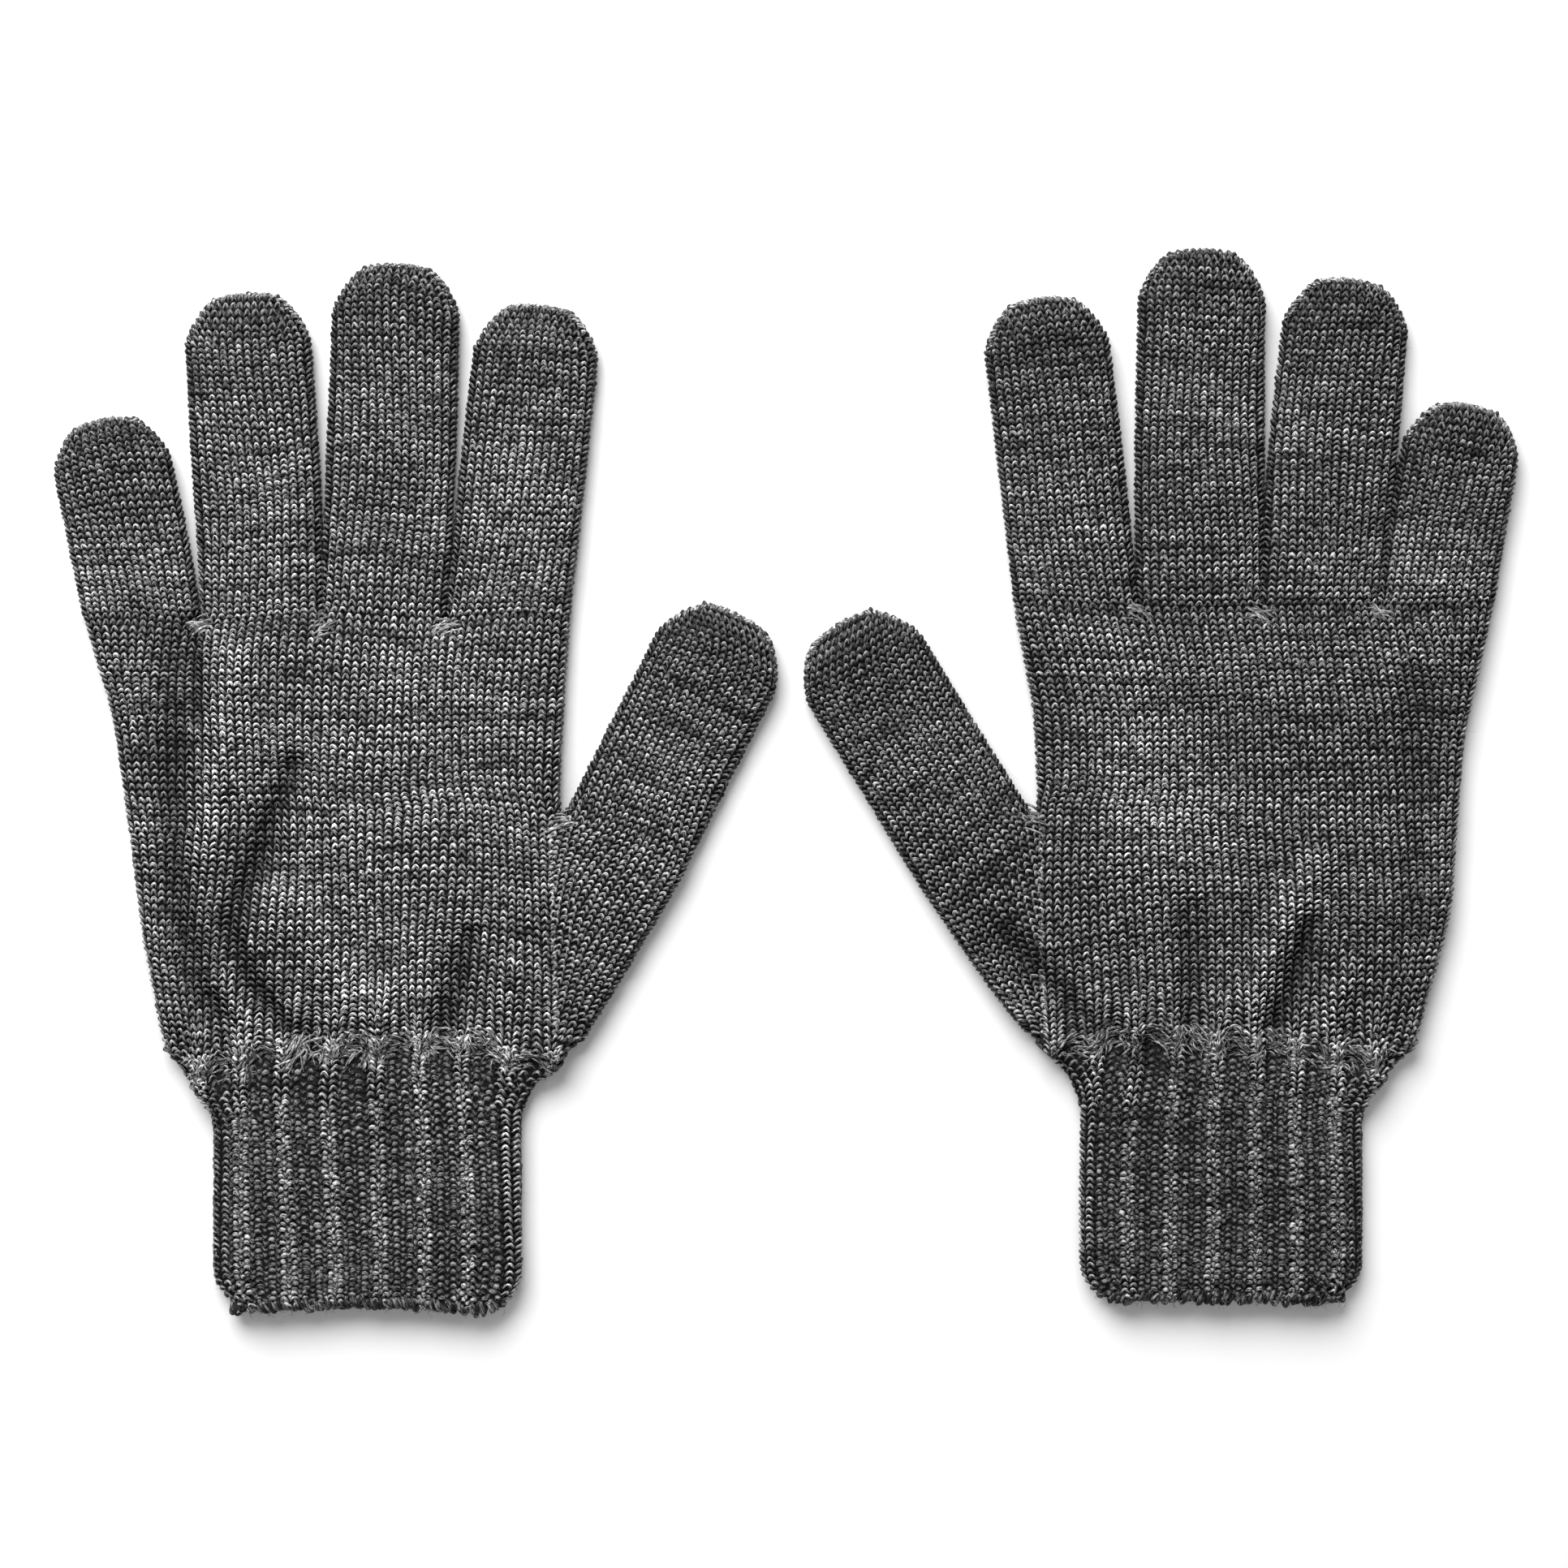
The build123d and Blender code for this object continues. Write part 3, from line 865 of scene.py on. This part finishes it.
def relief(plan, points):
    """How the upper face is moved: soft waves all over, a few folds, and the gathers over the ribs."""
    above = points[..., 1] - GATHER_ABOVE_MOUTH
    near = nearness_to_gather(above)
    turn = rib_turn(plan, points[..., 0])
    crest = np.cos(turn)
    height = WAVE_HEIGHT * plan.undulation.at(points) + fold_height(plan, points)
    swell = PALM_SWELL * np.exp(-above / PALM_SWELL_FADE)
    dip = CUFF_DIP * np.exp(above / CUFF_DIP_FADE)
    height = height + PLEAT_HEIGHT * near * crest + np.where(above > 0, swell, -dip)
    squeeze = np.where(above > 0, 0.6 * near, 0.3 + 0.3 * near) * smooth(1 - above / SQUEEZE_FADE)
    across = SWAY_ACROSS * plan.sways[0].at(points) - squeeze * MM * np.sin(turn)
    along = SWAY_ALONG * plan.sways[1].at(points) - PLEAT_PULL * near * crest
    along = along + gather_rise(plan, points[..., 0]) * np.exp(-((above / RISE_FADE) ** 2))
    return np.stack([plan.way * across, along, height], axis=-1)


def gather_rise(plan, across):
    """How far the line of the gathers lies above its mean height, at a distance across the glove."""
    places, rises = np.array(GATHER_RISE[plan.side]).T * MM
    return rounded_line(across, places, rises, GATHER_ROUNDING, 7)


def nearness_to_gather(above):
    """1 at the gathers, fading over a short stretch of the palm above and of the cuff below."""
    reach = np.where(above > 0, PALM_PLEAT_FADE, CUFF_PLEAT_FADE)
    return np.exp(-((above / reach) ** 2))


def rib_turn(plan, across):
    """A full turn for each rib: zero along the middle of its raised part."""
    pitch = 2 * plan.wrist / RIB_STITCHES * RIB_REPEAT
    return 2 * math.pi * (across / pitch - RIB_PHASE)


def fold_height(plan, points):
    height = -FORK_GROOVE * MM * np.exp(-(((points[..., 1] - plan.fork) / (2.0 * MM)) ** 2))
    for line, half_width, size in FOLDS[plan.side]:
        distance = distance_to_line(points, np.array(line) * MM)
        height = height + size * MM * np.exp(-((distance / (half_width * MM)) ** 2))
    return height


def fold_painted_light(plan, points):
    """Painted light: painted shade in the folds' valleys and between the gathers, a painted highlight on the
    ridges, waves and gathers, times the glove's lightness.
    """
    near = nearness_to_gather(points[..., 1] - GATHER_ABOVE_MOUTH)
    painted_gather_light = GATHER_PAINTED_LIGHT * near * np.cos(rib_turn(plan, points[..., 0]))
    painted_fold_light = FOLD_PAINTED_LIGHT * fold_height(plan, points)
    shade = 1.0 + painted_gather_light + painted_fold_light + WAVE_PAINTED_LIGHT * plan.undulation.at(points)
    return GLOVE_SHADE[plan.side] * np.clip(shade, *FOLD_PAINTED_LIGHT_RANGE)


def distance_to_line(points, line):
    """How far points of the plan are from a line through corners."""
    nearest = np.full(points.shape[:-1], np.inf)
    for start, end in zip(line, line[1:]):
        run = end - start
        share = np.clip(((points - start) @ run) / (run @ run), 0, 1)
        nearest = np.minimum(nearest, np.linalg.norm(points - start - share[..., None] * run, axis=-1))
    return nearest


def rib_side(tube, course, wale):
    """For each stitch of a cuff's course: if it is plain, how raised it lies, how far it is from where plain
    and purl ribs meet.
    """
    above_mouth = tube.above_mouth[course]
    from_left = wale - tube.stitches[course] / 2 + RIB_STITCHES / 2
    raised = np.cos(2 * math.pi * (from_left / RIB_REPEAT - 0.5 - RIB_PHASE))
    number = np.floor(from_left)
    edge = (number < EDGE_WALES) | (number >= RIB_STITCHES - EDGE_WALES)
    on_rib = (number - 2) % RIB_REPEAT < 2
    below_gather = GATHER_ABOVE_MOUTH - above_mouth
    ragged = tube.rib_ends[number.astype(int) // RIB_REPEAT] + random.normal(0, 0.4 * MM)
    near_gather = below_gather + ragged < PLAIN_BELOW_GATHER
    near_hem = above_mouth + ragged / 2 < PLAIN_ABOVE_HEM
    from_rib_edge = np.abs(from_left - 2 * np.round(from_left / 2))
    plain = edge | (on_rib & (near_gather | near_hem))
    return plain.astype(float), raised, from_rib_edge


def around_row(tube, row, samples):
    """Points and outward directions right round a tube at one course, evenly spaced over each face."""
    wales = tube.wales[min(row, tube.rows - 1)]
    share = np.arange(samples) / samples
    parts = []
    for face, reading in ((0, share), (1, 1 - share)):
        course = np.full(samples, float(row))
        parts.append(tube.locate(face, (reading - tube.anchor) * wales, course))
    return np.concatenate([parts[0][0], parts[1][0]]), np.concatenate([parts[0][1], parts[1][1]])


def hem_weave(tube):
    """The bind-off: yarns overcast round the cuff's mouth, and loose loops and ends that hang from it."""
    weave = Weave()
    ring, normal = around_row(tube, tube.rows - 1, HEM_SAMPLES)
    steps = np.linalg.norm(np.roll(ring, -1, axis=0) - ring, axis=1)
    travelled = running(steps)[:-1]
    down = np.array([0.0, -1.0, 0.0])
    for number in range(HEM_YARNS):
        turns = round(steps.sum() / (random.uniform(*HEM_TURNS) * MM))
        angle = 2 * math.pi * (travelled / steps.sum() * turns + number / HEM_YARNS)
        angle = angle + rippled(len(ring), 1.1, 61)
        swell = 1.0 + rippled((len(ring), 1), 0.3, 81)
        out = np.cos(angle)[:, None] * normal * HEM_OUT * swell
        along = (np.sin(angle)[:, None] * HEM_ALONG * swell + 0.1 * MM) * down
        wave = rippled((len(ring), 1), HEM_WAVE, 91) * down
        path = ring + out + along + wave
        tone = np.clip(HEM_TONE + rippled(len(ring), *HEM_SPOTS), *HEM_TONES)
        tone = GLOVE_SHADE[tube.plan.side] * tone
        weave.add_yarn(path, normal, HEM_RADIUS, closed=True, tone=tone)
    for start in random.integers(0, HEM_SAMPLES, HEM_ENDS):
        share = np.linspace(0, 1, 10)[:, None]
        length = random.uniform(*HEM_END_LENGTHS) * MM
        sideways = random.normal(0, 0.9) * np.array([1.0, 0.0, 0.0])
        lift = np.array([0.0, 0.0, random.normal(0, 0.4)])
        path = ring[start] + (down * share + sideways * np.sin(share * 2.4) + lift * share) * length
        weave.add_yarn(path, normal[start], HEM_END_RADIUS, sides=3, tone=0.9)
    return weave


def tip_weave(weave, plan, digit):
    """The closed end: yarns overcast along the edge of the tip."""
    back = np.linspace(SEAM_FROM, 1.0 * MM, 60)
    half = digit.half_width(back) - SEAM_INSET
    middle = digit.end - digit.along * back[:, None]
    rise = middle - digit.across * half[:, None]
    fall = middle + digit.across * half[:, None]
    across_top = np.linspace(0, 1, 62)[1:-1, None]
    top = mix(rise[-1], fall[-1], across_top)
    top = top + digit.along * TIP_BOW * (1 - (2 * across_top - 1) ** 2)
    edge = np.concatenate([rise, top, fall[::-1]])
    travelled = running(np.linalg.norm(np.diff(edge, axis=0), axis=1))
    count = int(travelled[-1] / SEAM_SAMPLE)
    even = np.linspace(0, travelled[-1], count)
    flat = np.stack([np.interp(even, travelled, edge[:, axis]) for axis in (0, 1)], axis=1)
    path = plan.to_world(flat, MIDDLE_HEIGHT)
    centre = plan.to_world((digit.end - digit.along * 12 * MM)[None], MIDDLE_HEIGHT)
    outwards = unit(path - centre)
    fade = np.sin(np.linspace(0, math.pi, count)) ** 0.3
    for number in range(SEAM_YARNS):
        angle = 2 * math.pi * (even / SEAM_TURN + number / SEAM_YARNS) + rippled(count, 0.6, 31)
        swing = np.cos(angle)[:, None] * UP * SEAM_SWING
        swing = swing + (np.sin(angle)[:, None] * 0.5 * SEAM_SWING - 0.2 * MM) * outwards
        yarn = path + swing + rippled((count, 3), SEAM_LOOSENESS, 9)
        tone = 0.9 + 0.2 * rippled(count, 1.0, 15)
        weave.add_yarn(yarn, outwards, SEAM_RADIUS * fade + 0.05 * MM, tone=tone)


def fork_weave(plan):
    """The yarn ends tied in at each fork: short strands that cross it, a little slack."""
    weave = Weave()
    spots = []
    for left_name, right_name in zip(FINGERS, FINGERS[1:]):
        left = plan.digits[left_name]
        right = plan.digits[right_name]
        centre = (left.fork_point()[0] + left.root_half + right.fork_point()[0] - right.root_half) / 2
        spot = np.array([centre, plan.fork - TIE_IN_BELOW_FORK])
        spots.append((spot, np.array([1.0, 0.0]), TIE_IN_WIDTH))
    thumb = plan.digits["thumb"]
    fork = thumb.fork_point() - thumb.across * thumb.root_half
    spot = fork + [0.3 * MM, -TIE_IN_BELOW_FORK]
    spots.append((spot, unit(np.array([1.0, -0.25])), THUMB_TIE_IN_WIDTH))
    for spot, across, width in spots:
        up_plan = np.array([-across[1], across[0]])
        for _ in range(TIE_INS):
            share = np.linspace(-1, 1, 12)
            level = random.normal(-0.3, 1.2) * MM
            slope = random.normal(0.4, 0.3)
            span = width / 2 * random.uniform(0.3, 1.0)
            flat = spot + (across + up_plan * slope) * share[:, None] * span
            shift = across * random.normal(0, 0.9) * MM
            flat = flat + shift + up_plan * (level - 0.4 * MM * share**2)[:, None]
            bowed = 0.75 * MM - 0.9 * MM * share**2 - max(level, 0) * 0.9
            height = MIDDLE_HEIGHT + HALF_HEIGHT + bowed
            path = plan.to_world(flat, height)
            tone = GLOVE_SHADE[plan.side] * random.uniform(0.8, 3.6) * (1 - 0.5 * share**2)
            weave.add_yarn(path, UP, random.uniform(*TIE_IN_RADII) * MM, tone=tone)
    return weave


def gather_weave(tube):
    """Where the palm is gathered into the cuff: frayed bunches over the ribs, slack strands between them."""
    weave = Weave()
    row = int(np.argmin(np.abs(tube.above_mouth - GATHER_ABOVE_MOUTH)))
    pitch = 2 * tube.plan.wrist / RIB_STITCHES * RIB_REPEAT
    crests = np.arange(-4, 4) * pitch + RIB_PHASE * pitch
    for crest in crests:
        crest = crest + random.normal(0, 1.1) * MM
        level = random.normal(0, 0.8) * MM
        lean = random.normal(0, 0.35)
        width = random.uniform(*BUNCH_WIDTHS) * MM
        for _ in range(random.integers(*BUNCH_STRANDS)):
            spread = random.normal(0, 1) * width
            high = level + random.uniform(-3.0, 3.4) * MM
            length = random.uniform(*BUNCH_LENGTHS) * MM
            slant = lean - spread / (2.6 * MM) * 0.7 + random.normal(0, 0.35)
            path = ((crest + spread, high), (slant, 1.0), length)
            add_strand(weave, tube, row, path, BUNCH_LIFT, BUNCH_TONE)
        for _ in range(SLACK_STRANDS):
            spread = pitch / 2 + random.normal(0, 2.2) * MM
            high = random.normal(0.3, 1.2) * MM
            length = random.uniform(*SLACK_LENGTHS) * MM
            path = ((crest + spread, high), (1.0, random.normal(0, 0.45)), length)
            add_strand(weave, tube, row, path, SLACK_LIFT, random.uniform(0.5, 1.1))
    return weave


def add_strand(weave, tube, row, path, lift, tone):
    """A short loose strand on the upper face near the gathers. `path` is its middle, heading and length."""
    middle, heading, length = path
    share = np.linspace(-0.5, 0.5, 8)
    run = unit(np.array(heading)) * length
    bow = np.array([-run[1], run[0]]) * random.normal(0, 0.14)
    flat = np.array(middle) + share[:, None] * run + (1 - (2 * share[:, None]) ** 2) * bow
    wale = flat[:, 0] / (2 * tube.plan.wrist) * RIB_STITCHES
    point, normal = tube.locate(0, wale, row - flat[:, 1] / COURSE)
    arched = lift * (1.1 - (2 * share[:, None]) ** 2)
    path = point + normal * (arched + random.normal(0.1, 0.22) * MM)
    fade = 1.1 - (2 * share) ** 2 * 0.6
    radius = random.uniform(*STRAND_RADII) * MM * fade
    tone = tone * GLOVE_SHADE[tube.plan.side] / GLOVE_SHADE["right"] * random.uniform(0.6, 1.3) * fade
    weave.add_yarn(path, normal, radius, tone=tone)


def elastic_weave(tube):
    """Three rings of covered elastic thread against the inside of the cuff."""
    weave = Weave()
    plan = tube.plan
    low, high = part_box(f"{plan.side}_cuff_elastic")
    for share in RING_PLACES:
        v = mix(low.y, high.y, share) - plan.mouth
        row = int(np.argmin(np.abs(tube.above_mouth - v)))
        ring, normal = around_row(tube, row, 120)
        weave.add_yarn(ring - normal * RING_DEPTH, normal, RING_RADIUS, closed=True)
    return weave


def new_material(name):
    """A material with its shader, and a node that gives distances along and round a yarn."""
    material = bpy.data.materials.new(name)
    material.use_nodes = True
    tree = material.node_tree
    uv = tree.nodes.new("ShaderNodeUVMap")
    uv.uv_map = "yarn"
    return material, tree.nodes, tree.links, tree.nodes["Principled BSDF"], uv.outputs["UV"]


def set_inputs(node, **values):
    """Sets a node's inputs, each named with underscores for its spaces."""
    for name, value in values.items():
        node.inputs[name.replace("_", " ")].default_value = value


def grey_ramp(nodes, greys, places=(0.0, 1.0)):
    ramp = nodes.new("ShaderNodeValToRGB")
    for stop, place_on_ramp, grey in zip(ramp.color_ramp.elements, places, greys):
        stop.position = place_on_ramp
        stop.color = (*grey, 1.0)
    return ramp


def yarn_material(name, dark, light):
    """Marl yarn: fibres of several greys that run along it, twisted a little, with thick and thin places."""
    material, nodes, links, shader, along_yarn = new_material(name)
    stretch = nodes.new("ShaderNodeMapping")
    set_inputs(stretch, Scale=(0.8, 5.0, 1.0), Rotation=(0.0, 0.0, 0.02))
    links.new(along_yarn, stretch.inputs["Vector"])
    fibres = nodes.new("ShaderNodeTexNoise")
    set_inputs(fibres, Scale=1.0, Detail=3.0, Roughness=0.65)
    links.new(stretch.outputs["Vector"], fibres.inputs["Vector"])
    greys = grey_ramp(nodes, (dark, light), (0.43, 0.60))
    links.new(fibres.outputs["Fac"], greys.inputs["Fac"])
    # The tone attribute brings in the painted shade and highlight as well as the marl
    tone = nodes.new("ShaderNodeAttribute")
    tone.attribute_name = "tone"
    shade = nodes.new("ShaderNodeMix")
    shade.data_type = "RGBA"
    shade.blend_type = "MULTIPLY"
    set_inputs(shade, Factor=1.0)
    links.new(greys.outputs["Color"], shade.inputs["A"])
    links.new(tone.outputs["Fac"], shade.inputs["B"])
    links.new(shade.outputs["Result"], shader.inputs["Base Color"])
    bump = nodes.new("ShaderNodeBump")
    set_inputs(bump, Strength=0.5, Distance=0.25 * MM)
    links.new(fibres.outputs["Fac"], bump.inputs["Height"])
    links.new(bump.outputs["Normal"], shader.inputs["Normal"])
    set_inputs(shader, Roughness=0.5, Specular_IOR_Level=0.2, Sheen_Weight=0.04, Sheen_Roughness=0.5)
    return material


def elastic_material(name):
    """Elastic thread wound with fine black yarn."""
    material, nodes, links, shader, along_yarn = new_material(name)
    winding = nodes.new("ShaderNodeTexWave")
    set_inputs(winding, Scale=2.0)
    links.new(along_yarn, winding.inputs["Vector"])
    greys = grey_ramp(nodes, ((0.01, 0.01, 0.01), (0.035, 0.035, 0.037)))
    links.new(winding.outputs["Fac"], greys.inputs["Fac"])
    links.new(greys.outputs["Color"], shader.inputs["Base Color"])
    set_inputs(shader, Roughness=0.6)
    return material


DARK_FIBRE = (0.010, 0.010, 0.0103)
LIGHT_FIBRE = (0.72, 0.72, 0.725)
MATERIALS = {
    "plain_knit": yarn_material("charcoal_knit", DARK_FIBRE, LIGHT_FIBRE),
    "conductive_knit": yarn_material("conductive_knit", DARK_FIBRE, LIGHT_FIBRE),
    "ribbed_knit": yarn_material("charcoal_rib", DARK_FIBRE, (0.62, 0.62, 0.625)),
    "tie_in_yarn": yarn_material("tie_in_yarn", (0.03, 0.03, 0.031), (0.5, 0.5, 0.505)),
    "elastic_thread": elastic_material("elastic_thread"),
}


def place(weave, side, name, slot, nodes=()):
    """A piece that stays flat: it rides on its glove, and stands in for the named nodes of the frame."""
    piece = weave.make(f"{side}_{name}", MATERIALS[slot])
    body = f"{side}_glove"
    nodes = [f"{side}_{node}" for node in nodes]
    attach(piece, body)
    if nodes:
        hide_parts(*nodes)


def place_bending(weave, plan, digit, number, slot):
    """A stretch of a digit, made as one piece where it lies, in place of its node of the frame."""
    segment = digit.segments[number]
    node = f"{plan.side}_{digit.name}_{segment}"
    piece = weave.make(f"{node}_knit", MATERIALS[slot])
    joint = JOINTS[f"{node}_bend"]
    axis = np.array(joint["axis"])
    run = unit(np.cross(UP, axis))
    run = run * np.sign(run[1])
    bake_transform(piece)
    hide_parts(node)


def split_rows(digit, tube):
    """The courses at which a digit's pieces meet: half way between the bends, counted from the tip."""
    cuts = [0]
    for near, far in reversed(list(zip(digit.hinges, digit.hinges[1:]))):
        back = digit.length - (near + far) / 2
        cuts.append(int(round(back / tube.reach * tube.fork_row)))
    cuts.append(tube.fork_row)
    return cuts


def knit_digit(plan, digit, tube):
    cuts = split_rows(digit, tube)
    for number, segment in enumerate(digit.segments):
        position = len(digit.segments) - 1 - number
        first, last = cuts[position], cuts[position + 1]
        conductive = segment == "tip" and digit.name in CONDUCTIVE_DIGITS
        weave = knit_stretch(tube, first, last, fuzz=int(COURSE_FUZZ * (last - first)))
        if segment == "tip":
            tip_weave(weave, plan, digit)
        place_bending(weave, plan, digit, number, "conductive_knit" if conductive else "plain_knit")


def knit_glove(side):
    plan = Plan(side)
    for name in FINGERS:
        digit = plan.digits[name]
        knit_digit(plan, digit, finger_tube(plan, digit))
    thumb = plan.digits["thumb"]
    tube = thumb_tube(plan, thumb)
    knit_digit(plan, thumb, tube)
    gusset = knit_stretch(tube, tube.fork_row, tube.rows, fuzz=GUSSET_FUZZ)
    place(gusset, side, "thumb_gusset_knit", "plain_knit")

    palm = palm_tube(plan)
    bands = np.linspace(0, palm.rows, 4).astype(int)
    for number, (first, last) in enumerate(zip(bands, bands[1:])):
        band = knit_stretch(palm, first, last, fuzz=PALM_FUZZ)
        place(band, side, f"palm_knit_{number + 1}", "plain_knit", [] if number else ["hand"])

    cuff = cuff_tube(plan)
    ribbing = knit_stretch(cuff, 0, cuff.rows, rib=rib_side, fuzz=CUFF_FUZZ)
    place(ribbing, side, "cuff_knit", "ribbed_knit", ["cuff"])
    place(hem_weave(cuff), side, "cuff_hem_overcast", "ribbed_knit", ["cuff_hem"])
    place(elastic_weave(cuff), side, "cuff_elastic_rings", "elastic_thread", ["cuff_elastic"])
    place(gather_weave(cuff), side, "gather_tufts", "ribbed_knit")
    place(fork_weave(plan), side, "fork_tie_ins", "tie_in_yarn", ["fork_stitches"])


def set_stage():
    """A white table, soft light from the upper left, and a camera straight above."""
    bpy.ops.mesh.primitive_plane_add(size=6.0, location=(0, 0, 0))
    floor = bpy.context.object
    floor.name = "table"
    white = bpy.data.materials.new("white_table")
    white.use_nodes = True
    set_inputs(white.node_tree.nodes["Principled BSDF"], Base_Color=(0.96, 0.96, 0.96, 1.0), Roughness=0.9)
    floor.data.materials.append(white)

    key = bpy.data.lights.new("key", "AREA")
    key.shape = "DISK"
    key.size = 1.3
    key.energy = 33.0
    lamp = bpy.data.objects.new("key", key)
    lamp.location = (-0.38, 0.98, 1.0)
    aim = -np.array(lamp.location)
    lamp.rotation_euler = (math.atan2(math.hypot(aim[0], aim[1]), -aim[2]), 0.0, math.atan2(-aim[0], aim[1]))
    bpy.context.scene.collection.objects.link(lamp)

    world = bpy.data.worlds.new("studio")
    world.use_nodes = True
    set_inputs(world.node_tree.nodes["Background"], Color=(1.0, 1.0, 1.0, 1.0), Strength=0.38)
    bpy.context.scene.world = world

    lens = bpy.data.cameras.new("camera")
    lens.lens = 85.0
    lens.sensor_width = 36.0
    camera = bpy.data.objects.new("camera", lens)
    camera.location = (-0.0006, -0.00055, 0.916)
    bpy.context.scene.collection.objects.link(camera)
    bpy.context.scene.camera = camera
    bpy.context.scene.view_settings.view_transform = "Standard"


for side_name in SIDES:
    knit_glove(side_name)
set_stage()
